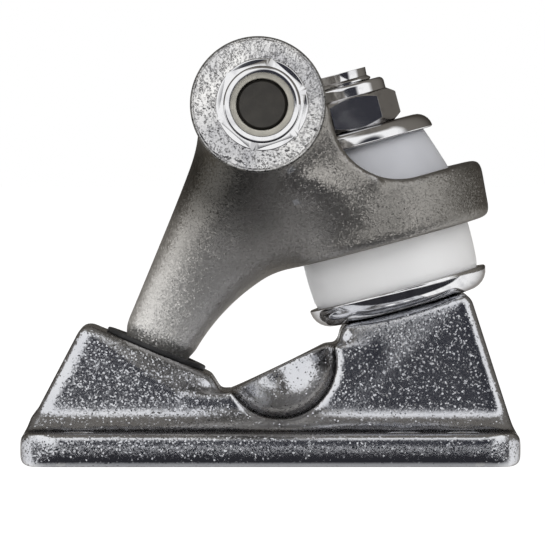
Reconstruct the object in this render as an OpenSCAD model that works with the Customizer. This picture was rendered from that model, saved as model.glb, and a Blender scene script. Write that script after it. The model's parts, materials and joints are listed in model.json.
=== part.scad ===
// Skateboard truck seen as in use on the bench: the baseplate lies on the table,
// the axle runs along Y, the kingpin is on the +X side and leans towards the axle.
// The origin is the middle of the baseplate's underside. All sizes in millimetres.

/* [Baseplate] */
// Length of the flange along X
base_l = 82.5; // [80:0.5:92]
// Width of the flange along Y
base_w = 57; // [54:0.5:66]
// Thickness of the flange
flange_t = 5.5; // [4.5:0.1:7]
// Radius of the flange's corners seen from above
flange_corner_r = 6.5; // [5:0.5:9]
// Radius of the flange's upper and lower edges
flange_edge_r = 1.4; // [0.8:0.1:1.8]
// Width of both blocks where they leave the flange
block_w = 28; // [26:0.5:29]
// Width that the draft takes off each block up to its top
block_draft = 5; // [3:0.2:6]
// Radius of the blocks' cast edges
block_edge_r = 2; // [1.2:0.1:2.6]
// Height of the cast fillet between the flange and the blocks
skirt_h = 2.4; // [1.5:0.1:3]
// Gap between each flange end and the foot of the block there
block_inset = 0.8; // [0.6:0.1:2]
// Half length of the kingpin block's top
kingpin_block_half = 11.4; // [10.4:0.1:12]
// Land behind the pivot cup's rim on its block
pivot_land_back = 4.3; // [2:0.1:4.6]
// Land in front of the pivot cup's rim on its block
pivot_land_front = 2.7; // [2:0.1:3.4]
// Radius of the bowl scooped out of each flank between the blocks
bowl_r = 9.4; // [8:0.1:10]
// Place of the bowls along X
bowl_x = 1.6; // [0:0.1:2.4]
// Height of the bowls' floor above the underside
bowl_floor_z = 7.3; // [6.5:0.1:8.5]
// Thickness of the web left between the two bowls
web_t = 3; // [2:0.2:5]

/* [Deck bolts] */
// Distance between the two rows of bolt holes, along Y
bolt_row_w = 41.28; // [40.5:0.02:42]
// Length of the short bolt pattern
bolt_short_l = 53.98; // [53:0.02:55]
// Length of the long bolt pattern
bolt_long_l = 63.5; // [62.5:0.02:64.5]
// Diameter of the bolt holes
bolt_hole_d = 5.5; // [5:0.1:6]

/* [Pivot] */
// Distance of the pivot mouth from the flange's end
pivot_inset = 22.05; // [21:0.05:23]
// Height of the pivot mouth
pivot_z = 18.3; // [17.5:0.1:20]
// Lean of the pivot cup from the vertical, in degrees
pivot_tilt = 22.3; // [20:0.1:24]
// Depth of the ball's middle below the mouth
ball_depth = 8.5; // [8:0.1:9]
// Radius of the ball on the hanger's nub
ball_r = 4.6; // [4.2:0.1:5]
// Radius of the nub at the mouth of the cup
nub_r = 5.3; // [5:0.1:5.6]
// Outer radius of the cup's body
cup_r = 7.8; // [7.5:0.1:8.2]
// Radius of the cup's rim
cup_rim_r = 8.8; // [8.6:0.1:9.6]
// Thickness of the cup's rim
cup_rim_t = 0.8; // [0.6:0.1:1]
// Thickness of the cup's floor
cup_floor_t = 1.3; // [1:0.1:1.6]
// Gap between the cup's rim and the foot of the hanger's arm
arm_gap = 1.6; // [1.2:0.1:2.2]
// How far the hanger turns each way on its steering axis, in degrees
steer_swing = 10; // [8:0.5:11]

/* [Kingpin and bushings] */
// Distance from the flange's end to where the kingpin leaves its block
kingpin_inset = 19.05; // [18:0.05:20]
// Height where the kingpin leaves its block
kingpin_z = 25.5; // [24.5:0.1:26.5]
// Lean of the kingpin from the vertical, in degrees
kingpin_tilt = 15; // [13:0.1:17]
// Diameter of the kingpin
kingpin_d = 9.53; // [9.5:0.01:10]
// Length of the kingpin in its block, down to its head
kingpin_grip = 17.6; // [16:0.1:18.2]
// Height of the kingpin's head
kingpin_head_h = 6; // [5:0.1:6.5]
// Thread of the kingpin that shows above its nut
kingpin_tip = 2.2; // [1.5:0.1:4]
// Outer radius of the barrel bushing
barrel_r = 14; // [13:0.1:14.5]
// Height of the barrel bushing
barrel_h = 13.4; // [12:0.1:14]
// Radius of the cone bushing at its foot
cone_foot_r = 13.9; // [12.8:0.1:14]
// Radius of the cone bushing at its top
cone_top_r = 10.6; // [10:0.1:10.8]
// Height of the cone bushing
cone_h = 12.2; // [11:0.1:13]
// Rounding of the bushings' edges
bushing_edge_r = 1.4; // [1:0.1:1.6]
// Thickness of the cup washers
cup_washer_t = 1.2; // [1:0.1:1.4]
// Outer radius of the bend between a cup washer's floor and wall
cup_washer_bend_r = 3; // [2:0.1:3.2]
// Flare of the cup washers' walls from the kingpin, in degrees
cup_flare = 24; // [20:1:28]
// Radius of the bottom cup washer's floor
barrel_cup_r = 13.8; // [13.4:0.1:14.2]
// Height of the bottom cup washer
barrel_cup_h = 3.5; // [3:0.1:4]
// Radius of the top cup washer's floor
cone_cup_r = 11.7; // [11.5:0.1:12.2]
// Height of the top cup washer
cone_cup_h = 2.7; // [2.4:0.1:3.2]
// Width across the flats of the kingpin's nut and head
kingpin_flats = 14.29; // [14:0.01:15]
// Turn of the kingpin nut's flats about the kingpin, in degrees
kingpin_nut_turn = 6.6; // [-30:0.1:30]
// Height of the kingpin nut's hexagon
kingpin_nut_h = 5.6; // [5:0.1:6.5]
// Height of the kingpin nut's collar
kingpin_collar_h = 2; // [1.6:0.1:2.5]

/* [Hanger] */
// Length of the hanger between its end faces
hanger_l = 139; // [130:1:152]
// Radius of the axle tube at its end faces
tube_r = 10.8; // [10.2:0.1:11.5]
// Radius of the axle tube at its waist
tube_waist_r = 9.4; // [9:0.1:10]
// Length of the tube's straight land at each end
tube_land = 6; // [4:0.5:10]
// Rounding of the axle tube's end edges
tube_edge_r = 0.6; // [0.3:0.1:1.2]
// How far the axle sits off the tube's middle, towards the kingpin
axle_offset = 0.6; // [0:0.1:1]
// Height of the axle above the underside
axle_z = 59.6; // [58:0.1:62]
// Least wall between the axle and the kingpin nut's hollow
axle_wall = 1.05; // [1:0.05:2.5]
// Outer radius of the ring round the kingpin
ring_r = 18.6; // [18:0.1:20]
// Height of the ring
ring_h = 9.6; // [8.8:0.1:10.5]
// How much wider the ring is at its top than at half its height
ring_draft = 0.4; // [0:0.1:0.6]
// Rounding of the ring's edges
ring_edge_r = 1.2; // [0.8:0.1:2]
// Depth of the bushing seats in the ring
seat_depth = 3.4; // [2.8:0.1:3.6]
// Radius of the hole round the kingpin in the ring
ring_bore_r = 6.6; // [6.4:0.1:8]
// Radius of the pivot arm where it meets the nub
arm_r = 6.2; // [6:0.1:6.8]
// Radius of the hollow between the pivot arm and the ring
arm_fillet_r = 32; // [28:0.5:36]
// Half width of the fan that the arm spreads to at the tube
fan_w = 44; // [36:1:50]
// Half width of the yoke's walls where they meet the tube
yoke_w = 27; // [25:0.5:32]
// Radius of the hollow between the ring's top and the tube
yoke_fillet_r = 11.5; // [9:0.5:12]

/* [Axle ends] */
// Length of the axle
axle_l = 203.2; // [195:0.2:216]
// Diameter of the axle
axle_d = 7.94; // [7.8:0.01:8.1]
// Bevel on the axle's ends
axle_bevel = 0.4; // [0.2:0.1:0.8]
// Width across the flats of the axle nuts
axle_flats = 12.7; // [12.5:0.1:13.2]
// Turn of the axle nuts' corners about the axle, in degrees
axle_nut_turn = 19; // [-30:0.5:30]
// Height of the axle nuts' hexagon
axle_nut_h = 6; // [5:0.1:7]
// Height of the axle nuts' collar
axle_collar_h = 2.2; // [1.8:0.1:2.6]
// How far the axle's end lies inside its nut
axle_sink = 0.5; // [0.2:0.1:1]
// Outer radius of the speed washers
speed_washer_r = 7.2; // [7:0.1:8.4]
// Thickness of the speed washers
speed_washer_t = 1; // [0.8:0.1:1.3]

/* [Fits] */
// Radial clearance of running fits, such as threads and the pivot ball
run_fit = 0.06; // [0.04:0.01:0.09]
// Radial clearance of pieces pressed together
press_gap = 0.02; // [0.01:0.01:0.03]
// Radial clearance of washers and bushings on their shafts
loose_fit = 0.3; // [0.3:0.05:0.4]
// Room round the kingpin's nut when the hanger turns
nut_room = 0.75; // [0.7:0.05:1.2]
// Room round the top cup washer when the hanger turns
washer_room = 0.7; // [0.6:0.05:1]
// Room between the nub and the cup's mouth when the hanger is fully turned
nub_room = 0.25; // [0.2:0.05:0.4]

/* [Hidden] */

$fn = 64;
over = 1;
far = 200;
hull_fn = 32;

// Directions in the X-Z plane
function lean(tilt) = [sin(tilt), cos(tilt)];
function across(tilt) = [cos(tilt), -sin(tilt)];
kingpin_up = lean(-kingpin_tilt);
kingpin_side = across(-kingpin_tilt);
pivot_up = lean(pivot_tilt);
pivot_side = across(pivot_tilt);
kingpin_seat = [base_l / 2 - kingpin_inset, kingpin_z];
pivot_mouth = [pivot_inset - base_l / 2, pivot_z];

// Heights along the kingpin, from its seat on the block
kingpin_r = kingpin_d / 2;
ring_low = cup_washer_t + barrel_h - seat_depth;
ring_top = ring_low + ring_h;
cone_foot = ring_top - seat_depth;
top_washer_floor = cone_foot + cone_h;
top_washer_top = top_washer_floor + cup_washer_t;
kingpin_end = top_washer_top + kingpin_nut_h + kingpin_collar_h + kingpin_tip;
cup_slope = tan(cup_flare);
cup_wall = cup_washer_t / cos(cup_flare);
cup_corner = cup_wall - cup_washer_t * cup_slope;
cone_washer_r = cone_cup_r + cone_cup_h * cup_slope;
barrel_foot_r = barrel_cup_r - cup_corner - loose_fit;
barrel_bevel_h = (barrel_r - barrel_foot_r) / cup_slope;
seat_r = max(barrel_r, cone_foot_r) + loose_fit;
kingpin_nut_r = kingpin_flats / sqrt(3);
collar_inset = 0.35;
lip_t = 0.6;
insert_wall = 0.9;

// The steering axis runs from the pivot ball through the middle of the ring
ring_under = kingpin_seat + ring_low * kingpin_up;
ring_middle = kingpin_seat + (ring_low + ring_h / 2) * kingpin_up;
ball_at = pivot_mouth - ball_depth * pivot_up;
steer_along = (ring_middle - ball_at) / norm(ring_middle - ball_at);
ring_tilt = steer_swing * abs(cross(steer_along, kingpin_up));
nub_tilt = steer_swing * abs(cross(steer_along, pivot_up));
arm_foot = cup_rim_t + arm_gap;
nub_at_rim_r = nub_r + (arm_r - nub_r) * cup_rim_t / arm_foot;
mouth_r = nub_at_rim_r + nub_room + (ball_depth + cup_rim_t) * sin(nub_tilt);

// The axle clears the kingpin's nut by the nut's hollow and a wall
axle_r = axle_d / 2;
axle_reach = kingpin_nut_r + nut_room + axle_wall + axle_r;
axle_along = (axle_z - kingpin_z + axle_reach * sin(kingpin_tilt)) / cos(kingpin_tilt);
axle_at = kingpin_seat + axle_along * kingpin_up - axle_reach * kingpin_side;
tube_at = axle_at - [axle_offset, 0];
axle_nut_end = axle_l / 2 + axle_sink;
axle_nut_foot = axle_nut_end - axle_nut_h - axle_collar_h;

// Corners of the blocks in the X-Z plane
block_top_w = block_w - block_draft;
pivot_top_left = pivot_mouth - (cup_rim_r + pivot_land_back) * pivot_side;
pivot_top_right = pivot_mouth + (cup_rim_r + pivot_land_front) * pivot_side;
kingpin_top_left = kingpin_seat - kingpin_block_half * kingpin_side;
kingpin_top_right = kingpin_seat + kingpin_block_half * kingpin_side;
pivot_toe = 4;
kingpin_toe = 3;
block_foot_x = base_l / 2 - block_inset;
bowl_z = bowl_floor_z + bowl_r;

// Points of an outline whose corners [x, y, radius] are rounded by arcs
function unit(v) = v / norm(v);
function flat(p) = [p[0], p[1]];
function corner_arc(before, at, after, steps) =
    let (
        u = unit(flat(before) - flat(at)),
        v = unit(flat(after) - flat(at)),
        half = acos(u * v) / 2,
        centre = flat(at) + unit(u + v) * at[2] / sin(half),
        from = flat(at) + u * at[2] / tan(half) - centre,
        to = flat(at) + v * at[2] / tan(half) - centre
    )
    [for (i = [0 : steps]) centre + at[2] * unit(from * (1 - i / steps) + to * i / steps)];
function rounded(points, steps = 8) =
    let (count = len(points))
    [
        for (i = [0 : count - 1])
            each points[i][2] == 0
                ? [flat(points[i])]
                : corner_arc(points[(i + count - 1) % count], points[i], points[(i + 1) % count], steps)
    ];
function with_radius(point, radius) = [point[0], point[1], radius];

// Frames of the two tilted stacks and of the axle
module on_kingpin(along = 0) {
    translate([kingpin_seat[0], 0, kingpin_seat[1]])
        rotate([0, -kingpin_tilt, 0])
            translate([0, 0, along])
                children();
}

module on_pivot(along = 0) {
    translate([pivot_mouth[0], 0, pivot_mouth[1]])
        rotate([0, pivot_tilt, 0])
            translate([0, 0, along])
                children();
}

module on_axle(along = 0, side = 1) {
    translate([axle_at[0], side * along, axle_at[1]])
        rotate([-90 * side, 0, 0])
            children();
}

// An outline in the X-Z plane made solid across the truck
module across_truck(width) {
    rotate([90, 0, 0])
        linear_extrude(width, center = true)
            children();
}

// An outline in the Y-Z plane made solid along the truck
module along_truck(length) {
    rotate([90, 0, 90])
        linear_extrude(length, center = true)
            children();
}

// Surface through rings of points, closed at both ends
module loft(rings) {
    count = len(rings[0]);
    last = len(rings) - 1;
    sides = [
        for (j = [0 : last - 1], i = [0 : count - 1])
            let (
                a = j * count + i,
                b = j * count + (i + 1) % count,
                c = (j + 1) * count + (i + 1) % count,
                d = (j + 1) * count + i
            )
            each [[a, c, b], [a, d, c]]
    ];
    polyhedron(
        [for (ring = rings) each ring],
        concat([[for (i = [0 : count - 1]) i]], sides, [[for (i = [count - 1 : -1 : 0]) last * count + i]])
    );
}

// A block whose side is a four-cornered outline, with draft and cast edges
module cast_block(foot_left, top_left, top_right, foot_right) {
    inner_foot = block_w / 2 - block_edge_r;
    inner_top = block_top_w / 2 - block_edge_r;
    hull() {
        for (side = [-1, 1]) {
            for (x = [foot_left + block_edge_r, foot_right - block_edge_r])
                translate([x, side * inner_foot, flange_t - over])
                    cylinder(r = block_edge_r, h = over, $fn = hull_fn);
            for (point = [top_left, top_right])
                translate([point[0], side * inner_top, point[1]])
                    sphere(r = block_edge_r, $fn = hull_fn);
        }
    }
}

// The flange: rounded in plan, and rounded along its upper and lower edges
module flange() {
    intersection() {
        linear_extrude(flange_t)
            polygon(rounded([
                for (corner = [[1, 1], [-1, 1], [-1, -1], [1, -1]])
                    [corner[0] * base_l / 2, corner[1] * base_w / 2, flange_corner_r]
            ]));
        across_truck(base_w + over)
            polygon(rounded([
                for (corner = [[1, 1], [-1, 1], [-1, 0], [1, 0]])
                    [corner[0] * base_l / 2, corner[1] * flange_t, flange_edge_r]
            ]));
        along_truck(base_l + over)
            polygon(rounded([
                for (corner = [[1, 1], [-1, 1], [-1, 0], [1, 0]])
                    [corner[0] * base_w / 2, corner[1] * flange_t, flange_edge_r]
            ]));
    }
}

// The low cast fillet that carries the blocks and the web
module skirt() {
    hull() {
        for (end = [-1, 1], side = [-1, 1], level = [0, 1])
            translate([
                end * (block_foot_x - block_edge_r - level * skirt_h / 3),
                side * (block_w / 2 - block_edge_r + (1 - level) * skirt_h),
                flange_t - over
            ])
                cylinder(r = block_edge_r, h = over + level * skirt_h, $fn = hull_fn);
    }
}

// The saddle between the blocks, whose ridge climbs to the kingpin block
module saddle() {
    overlap = 6;
    foot_share = 0.29;
    sink = 3;
    ridge_low = pivot_top_right + foot_share * [pivot_toe, flange_t - pivot_top_right[1]];
    ridge_high = kingpin_top_left - [block_edge_r, sink];
    intersection() {
        across_truck(block_w)
            polygon([
                [pivot_top_right[0] - overlap, flange_t - over],
                [kingpin_top_left[0] + overlap, flange_t - over],
                [kingpin_top_left[0] + overlap, ridge_high[1]],
                ridge_high,
                ridge_low,
                [pivot_top_right[0] - overlap, ridge_low[1]]
            ]);
        along_truck(base_l)
            polygon([
                [-block_w / 2, flange_t - over],
                [block_w / 2, flange_t - over],
                [block_top_w / 2, kingpin_z],
                [-block_top_w / 2, kingpin_z]
            ]);
    }
}

// The bowls on both flanks of the web
module bowls() {
    for (side = [-1, 1])
        translate([bowl_x, side * (web_t / 2 + bowl_r), bowl_z]) {
            sphere(r = bowl_r);
            rotate([-90 * side, 0, 0])
                cylinder(r = bowl_r, h = base_w);
        }
}

module bolt_holes() {
    for (x = [-bolt_long_l / 2, bolt_short_l - bolt_long_l / 2, bolt_long_l / 2], side = [-1, 1])
        translate([x, side * bolt_row_w / 2, -over])
            cylinder(d = bolt_hole_d, h = flange_t + skirt_h + 2 * over);
}

module baseplate() {
    head_room = loose_fit;
    color("slategray")
        difference() {
            union() {
                flange();
                skirt();
                cast_block(
                    -block_foot_x,
                    pivot_top_left + block_edge_r * (pivot_side - pivot_up),
                    pivot_top_right - block_edge_r * (pivot_side + pivot_up),
                    pivot_top_right[0] + pivot_toe
                );
                cast_block(
                    kingpin_top_left[0] - kingpin_toe,
                    kingpin_top_left + block_edge_r * (kingpin_side - kingpin_up),
                    kingpin_top_right - block_edge_r * (kingpin_side + kingpin_up),
                    block_foot_x
                );
                saddle();
            }
            bowls();
            bolt_holes();
            on_kingpin(-kingpin_grip)
                cylinder(r = kingpin_r + press_gap, h = far);
            on_kingpin(-kingpin_grip - kingpin_z)
                cylinder(r = kingpin_nut_r + head_room, h = kingpin_z, $fn = 6);
            on_pivot(-ball_depth - ball_r - cup_floor_t - press_gap)
                cylinder(r = cup_r + press_gap, h = far);
        }
}

// Urethane liner: ball seat below, flared mouth above, rim on the block
module pivot_cup() {
    seat = ball_r + run_fit;
    color("#1b1b1b")
        on_pivot()
            difference() {
                union() {
                    translate([0, 0, -ball_depth - ball_r - cup_floor_t])
                        cylinder(r = cup_r, h = ball_depth + ball_r + cup_floor_t);
                    cylinder(r = cup_rim_r, h = cup_rim_t);
                }
                translate([0, 0, -ball_depth])
                    sphere(r = seat);
                translate([0, 0, -ball_depth])
                    cylinder(r1 = seat, r2 = mouth_r, h = ball_depth + cup_rim_t);
                cylinder(r = mouth_r, h = cup_rim_t + over);
            }
}

module kingpin() {
    color("silver")
        on_kingpin() {
            translate([0, 0, -kingpin_grip - kingpin_head_h])
                cylinder(r = kingpin_nut_r, h = kingpin_head_h, $fn = 6);
            rotate_extrude()
                polygon([
                    [0, -kingpin_grip - kingpin_head_h / 2],
                    [kingpin_r, -kingpin_grip - kingpin_head_h / 2],
                    [kingpin_r, kingpin_end - axle_bevel],
                    [kingpin_r - axle_bevel, kingpin_end],
                    [0, kingpin_end]
                ]);
        }
}

// A dished washer with its floor at the bottom and its flared rim upwards
module cup_washer(floor_r, height) {
    rim_r = floor_r + height * cup_slope;
    color("gainsboro")
        rotate_extrude()
            polygon(rounded([
                [kingpin_r + loose_fit, 0, 0],
                [floor_r, 0, cup_washer_bend_r],
                [rim_r, height, cup_washer_t / 4],
                [rim_r - cup_wall, height, cup_washer_t / 4],
                [floor_r - cup_corner, cup_washer_t, cup_washer_bend_r - cup_washer_t],
                [kingpin_r + loose_fit, cup_washer_t, 0]
            ]));
}

module bottom_washer() {
    on_kingpin()
        cup_washer(barrel_cup_r, barrel_cup_h);
}

module top_washer() {
    on_kingpin(top_washer_top)
        mirror([0, 0, 1])
            cup_washer(cone_cup_r, cone_cup_h);
}

// A bushing bored for the kingpin, its flank given from the foot to the top
module bushing(flank, height) {
    color("whitesmoke")
        rotate_extrude()
            polygon(rounded(concat(
                [[kingpin_r + loose_fit, 0, 0]],
                [for (point = flank) with_radius(point, bushing_edge_r)],
                [[kingpin_r + loose_fit, height, 0]]
            )));
}

// Straight, and bevelled at its foot to sit in the bottom washer
module bottom_bushing() {
    flank = [
        [barrel_foot_r, 0],
        [barrel_r, barrel_bevel_h],
        [barrel_r, barrel_h]
    ];
    on_kingpin(cup_washer_t)
        bushing(flank, barrel_h);
}

// Straight in the ring's seat, then tapered to sit in the top washer
module top_bushing() {
    flank = [
        [cone_foot_r, 0],
        [cone_foot_r, seat_depth],
        [cone_top_r, cone_h]
    ];
    on_kingpin(cone_foot)
        bushing(flank, cone_h);
}

// A lock nut: bevelled hexagon, collar with a rolled lip, and room for its insert
module lock_nut(flats, hex_h, collar_h, thread_r) {
    bevel = flats / 12;
    corner_r = flats / sqrt(3);
    collar_r = flats / 2 - collar_inset;
    color("gainsboro")
        difference() {
            union() {
                intersection() {
                    cylinder(r = corner_r, h = hex_h, $fn = 6);
                    rotate_extrude()
                        polygon([
                            [0, 0],
                            [flats / 2 - press_gap, 0],
                            [corner_r + press_gap, bevel],
                            [corner_r + press_gap, hex_h - bevel],
                            [flats / 2 - press_gap, hex_h],
                            [0, hex_h]
                        ]);
                }
                rotate_extrude()
                    polygon(rounded([
                        [0, hex_h - over, 0],
                        [collar_r, hex_h - over, 0],
                        [collar_r, hex_h + collar_h, collar_h / 3],
                        [0, hex_h + collar_h, 0]
                    ]));
            }
            translate([0, 0, -over])
                cylinder(r = thread_r + run_fit, h = hex_h + collar_h + 2 * over);
            translate([0, 0, hex_h])
                cylinder(r = collar_r - insert_wall, h = collar_h - lip_t);
            translate([0, 0, hex_h])
                cylinder(r = (thread_r + collar_r) / 2, h = collar_h + over);
        }
}

// The nylon ring that lies under the nut's lip
module lock_insert(flats, hex_h, collar_h, thread_r) {
    outer = flats / 2 - collar_inset - insert_wall - press_gap;
    color("#b9b2a3")
        translate([0, 0, hex_h])
            difference() {
                cylinder(r = outer, h = collar_h - lip_t - press_gap);
                translate([0, 0, -over])
                    cylinder(r = thread_r + run_fit, h = collar_h + 2 * over);
            }
}

module kingpin_nut() {
    on_kingpin(top_washer_top)
        rotate(kingpin_nut_turn)
            lock_nut(kingpin_flats, kingpin_nut_h, kingpin_collar_h, kingpin_r);
}

module kingpin_nut_insert() {
    on_kingpin(top_washer_top)
        lock_insert(kingpin_flats, kingpin_nut_h, kingpin_collar_h, kingpin_r);
}

// Heights along the pivot arm, from the cup's mouth to the tube's middle
arm_start = pivot_mouth + arm_foot * pivot_up;
arm_length = norm(tube_at - arm_start);
arm_up = (tube_at - arm_start) / arm_length;
arm_side = [arm_up[1], -arm_up[0]];

// One ring of the pivot arm at a share of its length: straight back, hollow front,
// and a spread that grows towards the tube
arm_steps = 18;
arm_sides = 36;
arm_squareness = 0.86;
arm_hollow_share = 0.6;
arm_taper = 0.12;
arm_fan_power = 2.3;
arm_back_power = 6;
function superround(value, squareness) = sign(value) * pow(abs(value), squareness);
function bow(value) = superround(value, arm_squareness);
function arm_front(along) =
    let (
        hollow = min(along, arm_hollow_share * arm_fillet_r),
        swell = arm_taper * hollow + arm_fillet_r - sqrt(arm_fillet_r * arm_fillet_r - hollow * hollow),
        blend = max(0, along - hollow) / max(over, arm_length - hollow)
    )
    arm_r + swell + (tube_waist_r - over - arm_r - swell) * blend;
function arm_spread(share) = arm_r + (fan_w - arm_r) * pow(share, arm_fan_power);
function arm_ring(share) =
    let (
        along = share * arm_length,
        back = arm_r + (tube_waist_r - over - arm_r) * pow(share, arm_back_power),
        middle = (arm_front(along) - back) / 2,
        half = (arm_front(along) + back) / 2,
        spot = arm_start + along * arm_up
    )
    [
        for (i = [0 : arm_sides - 1])
            let (
                turn = 360 * i / arm_sides,
                place = spot + (middle + half * bow(cos(turn))) * arm_side
            )
            [place[0], arm_spread(share) * bow(sin(turn)), place[1]]
    ];

module pivot_arm() {
    loft([for (i = [0 : arm_steps]) arm_ring(i / arm_steps)]);
}

// The ball-ended nub that turns in the cup
module nub() {
    neck_r = sqrt(ball_r * ball_r - over * over);
    on_pivot() {
        translate([0, 0, -ball_depth])
            sphere(r = ball_r);
        translate([0, 0, -ball_depth])
            cylinder(r1 = neck_r, r2 = nub_r, h = ball_depth);
        cylinder(r1 = nub_r, r2 = arm_r - press_gap, h = arm_foot);
        translate([0, 0, arm_foot - press_gap])
            cylinder(r = arm_r - press_gap, h = arm_r);
    }
}

// The tube round the axle: thick ends, a slight waist, and a full middle
module axle_tube() {
    half = hanger_l / 2;
    waist_share = 0.72;
    waist = half * waist_share;
    shoulder_r = 12;
    waist_arc_r = 40;
    middle_arc_r = 120;
    translate([tube_at[0], 0, tube_at[1]])
        rotate([-90, 0, 0])
            rotate_extrude()
                polygon(rounded([
                    [0, -half, 0],
                    [tube_r, -half, tube_edge_r],
                    [tube_r, -half + tube_land, shoulder_r],
                    [tube_waist_r, -waist, waist_arc_r],
                    [tube_r - over / 2, 0, middle_arc_r],
                    [tube_waist_r, waist, waist_arc_r],
                    [tube_r, half - tube_land, shoulder_r],
                    [tube_r, half, tube_edge_r],
                    [0, half, 0]
                ]));
}

// One section of the neck that runs back from the ring into the arm: as wide as the ring
// at its start, narrow below and spreading to the yoke above
neck_run = 24;
neck_steps = 12;
neck_sides = 28;
neck_low_half = 9;
neck_top = 18;
neck_arch = 1.7;
neck_inset = 0.25;
neck_power = 1.2;
neck_rise_share = 0.6;
neck_square = 0.3;
neck_round = 0.5;
function neck_section(share) =
    let (
        squareness = neck_square + neck_round * share,
        half_h = ring_h / 2 - neck_inset,
        start = ring_r - ring_draft - neck_inset,
        low = -half_h + neck_arch * sin(180 * share),
        high = half_h + (neck_top - half_h) * min(1, share / neck_rise_share),
        low_half = start + (neck_low_half - start) * pow(share, neck_power),
        high_half = start + (yoke_w - start) * sin(180 * share),
        spot = ring_middle - share * neck_run * kingpin_side
    )
    [
        for (i = [0 : neck_sides - 1])
            let (
                turn = 360 * i / neck_sides,
                rise = (1 + superround(cos(turn), squareness)) / 2,
                half = low_half + (high_half - low_half) * rise,
                place = spot + (low + (high - low) * rise) * kingpin_up
            )
            [place[0], half * superround(sin(turn), squareness), place[1]]
    ];

module ring_plate() {
    on_kingpin(ring_low)
        rotate_extrude()
            polygon(rounded([
                [0, 0, 0],
                [ring_r - ring_draft, 0, ring_edge_r],
                [ring_r + ring_draft, ring_h, ring_edge_r],
                [0, ring_h, 0]
            ]));
    loft([for (i = [0 : neck_steps]) neck_section(i / neck_steps)]);
}

// The walls that rise from the ring to the tube on both sides of the kingpin
module yoke() {
    ring_top_at = kingpin_seat + ring_top * kingpin_up;
    tube_front = [tube_at[0] + tube_r + over, tube_at[1]];
    foot_x = tube_front[0];
    foot_z = ring_top_at[1] + (foot_x - ring_top_at[0]) * tan(kingpin_tilt);
    intersection() {
        across_truck(2 * yoke_w)
            polygon(rounded([
                with_radius(tube_at, 0),
                with_radius(tube_front, 0),
                [foot_x, foot_z, yoke_fillet_r],
                with_radius(ring_top_at + ring_r * kingpin_side, 0),
                with_radius(ring_middle + ring_r * kingpin_side, 0),
                with_radius(ring_middle, 0),
                with_radius(ring_middle + neck_top / 3 * kingpin_up - neck_run / 2 * kingpin_side, 0)
            ], 20));
        along_truck(far)
            polygon([
                [-ring_r, 0],
                [ring_r, 0],
                [ring_r, foot_z],
                [yoke_w, tube_at[1]],
                [-yoke_w, tube_at[1]],
                [-ring_r, foot_z]
            ]);
        union() {
            translate([ring_middle[0] - far, -far / 2, 0])
                cube([far, far, far]);
            on_kingpin(ring_low)
                cylinder(r = ring_r, h = far);
        }
    }
}

// The hollow that the cone bushing, its washer and the nut swing in
module stack_hollow() {
    centre = ring_low + ring_h / 2;
    rim_swing = (top_washer_top - cone_cup_h - centre) * sin(ring_tilt);
    nut_swing = (kingpin_end - kingpin_tip - centre) * sin(ring_tilt);
    ceiling = top_washer_top + cone_cup_r * sin(ring_tilt) + washer_room;
    half = kingpin_nut_r + nut_room;
    on_kingpin(ring_top + press_gap)
        cylinder(r = cone_washer_r + washer_room + rim_swing, h = ceiling - ring_top - press_gap);
    on_kingpin(ceiling - over)
        linear_extrude(far)
            polygon(rounded([
                for (corner = [[1, 1], [-1, 1], [-1, -1], [1, -1]])
                    [corner[0] * half, corner[1] * (half + nut_swing), half - over]
            ]));
}

module hanger() {
    color("darkgray")
        difference() {
            union() {
                axle_tube();
                pivot_arm();
                nub();
                ring_plate();
                yoke();
            }
            stack_hollow();
            on_kingpin(ring_low - over)
                cylinder(r = seat_r, h = seat_depth + over);
            on_kingpin(cone_foot)
                cylinder(r = seat_r, h = seat_depth + over);
            on_kingpin(ring_low)
                cylinder(r = ring_bore_r, h = ring_h);
            on_axle(-far / 2)
                cylinder(r = axle_r + press_gap, h = far);
        }
}

module axle() {
    half = axle_l / 2;
    color("dimgray")
        on_axle()
            rotate_extrude()
                polygon([
                    [0, -half],
                    [axle_r - axle_bevel, -half],
                    [axle_r, -half + axle_bevel],
                    [axle_r, half - axle_bevel],
                    [axle_r - axle_bevel, half],
                    [0, half]
                ]);
}

// One speed washer, its inner face at the given distance from the middle
module speed_washer(along, side) {
    color("silver")
        on_axle(along, side)
            rotate_extrude()
                polygon(rounded([
                    [axle_r + loose_fit, 0, 0],
                    [speed_washer_r, 0, speed_washer_t / 4],
                    [speed_washer_r, speed_washer_t, speed_washer_t / 4],
                    [axle_r + loose_fit, speed_washer_t, 0]
                ]));
}

module axle_washer_inner(side) {
    speed_washer(hanger_l / 2, side);
}

module axle_washer_outer(side) {
    speed_washer(axle_nut_foot - speed_washer_t, side);
}

module axle_nut(side) {
    on_axle(axle_nut_foot, side)
        rotate(axle_nut_turn)
            lock_nut(axle_flats, axle_nut_h, axle_collar_h, axle_r);
}

module axle_nut_insert(side) {
    on_axle(axle_nut_foot, side)
        lock_insert(axle_flats, axle_nut_h, axle_collar_h, axle_r);
}

// The near end, at -Y, is the left one
left = -1;
right = 1;

baseplate();
pivot_cup();
kingpin();
bottom_washer();
bottom_bushing();
hanger();
axle();
top_bushing();
top_washer();
kingpin_nut();
kingpin_nut_insert();
axle_washer_inner(left);  // axle_washer_inner_left
axle_washer_outer(left);  // axle_washer_outer_left
axle_nut(left);  // axle_nut_left
axle_nut_insert(left);  // axle_nut_insert_left
axle_washer_inner(right);  // axle_washer_inner_right
axle_washer_outer(right);  // axle_washer_outer_right
axle_nut(right);  // axle_nut_right
axle_nut_insert(right);  // axle_nut_insert_right
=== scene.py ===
"""Skateboard truck: the looks of its cast, turned, plated and moulded pieces.

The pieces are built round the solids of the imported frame, and take their places and sizes from it.
"""

import json
import math

import bmesh
import bpy
import numpy as np
from bpy.props import FloatProperty, FloatVectorProperty, IntProperty, PointerProperty
from mathutils import Matrix, Vector


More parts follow.
